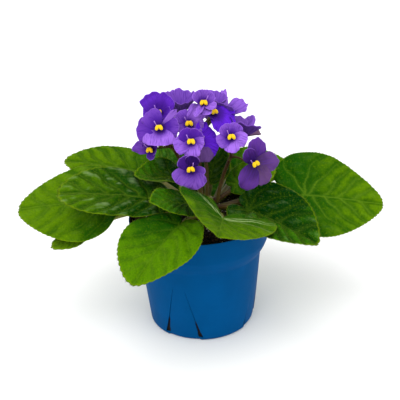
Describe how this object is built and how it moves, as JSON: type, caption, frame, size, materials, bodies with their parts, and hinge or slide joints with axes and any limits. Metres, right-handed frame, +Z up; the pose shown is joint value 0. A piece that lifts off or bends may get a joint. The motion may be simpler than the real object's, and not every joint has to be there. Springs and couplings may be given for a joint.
{
  "type": "potted african violet",
  "caption": "Flowering house plant: a rosette of hairy heart-shaped leaves under a dome of violet-blue flowers, in a round plastic nursery pot.",
  "frame": {"origin": "centre of the pot's flat underside, on the surface it stands on", "axes": "+Z up, +X to the viewer's right along the plant's wide spread, -Y towards the viewer"},
  "size_m": [0.2865, 0.2003, 0.1898],
  "materials": {
    "pot_plastic": "satin",
    "potting_mix": "matte",
    "crown": "matte",
    "flower_stalk": "matte",
    "leaf_light": "matte",
    "leaf_mid": "matte",
    "leaf_dark": "matte",
    "petal": "matte",
    "anther": "matte"
  },
  "bodies": {
    "root": {"nursery_pot": "pot_plastic", "potting_mix": "potting_mix", "crown_stem": "crown", "flower_stalk_left": "flower_stalk", "flower_stalk_front": "flower_stalk", "flower_stalk_centre": "flower_stalk", "flower_stalk_right": "flower_stalk", "flower_stalk_rear": "flower_stalk", "leaf_far_left": "leaf_light", "leaf_left": "leaf_dark", "leaf_back_left": "leaf_light", "leaf_low_left": "leaf_light", "leaf_inner_left": "leaf_dark", "leaf_inner_front": "leaf_mid", "leaf_front": "leaf_light", "leaf_front_left": "leaf_mid", "leaf_right": "leaf_dark", "leaf_far_right": "leaf_light", "leaf_back_right": "leaf_mid", "leaf_inner_back": "leaf_dark", "leaf_inner_right": "leaf_mid", "leaf_rear_left": "leaf_mid", "leaf_rear": "leaf_light", "leaf_rear_right": "leaf_mid", "flower_01_petals": "petal", "flower_01_stamens": "anther", "flower_02_petals": "petal", "flower_02_stamens": "anther", "flower_03_petals": "petal", "flower_03_stamens": "anther", "flower_04_petals": "petal", "flower_04_stamens": "anther", "flower_05_petals": "petal", "flower_05_stamens": "anther", "flower_06_petals": "petal", "flower_06_stamens": "anther", "flower_07_petals": "petal", "flower_07_stamens": "anther", "flower_08_petals": "petal", "flower_08_stamens": "anther", "flower_09_petals": "petal", "flower_09_stamens": "anther", "flower_10_petals": "petal", "flower_10_stamens": "anther", "flower_11_petals": "petal", "flower_11_stamens": "anther", "flower_12_petals": "petal", "flower_12_stamens": "anther", "flower_13_petals": "petal", "flower_13_stamens": "anther", "flower_14_petals": "petal", "flower_14_stamens": "anther", "flower_15_petals": "petal", "flower_15_stamens": "anther", "flower_16_petals": "petal", "flower_16_stamens": "anther", "flower_17_petals": "petal", "flower_17_stamens": "anther"}
  },
  "joints": []
}
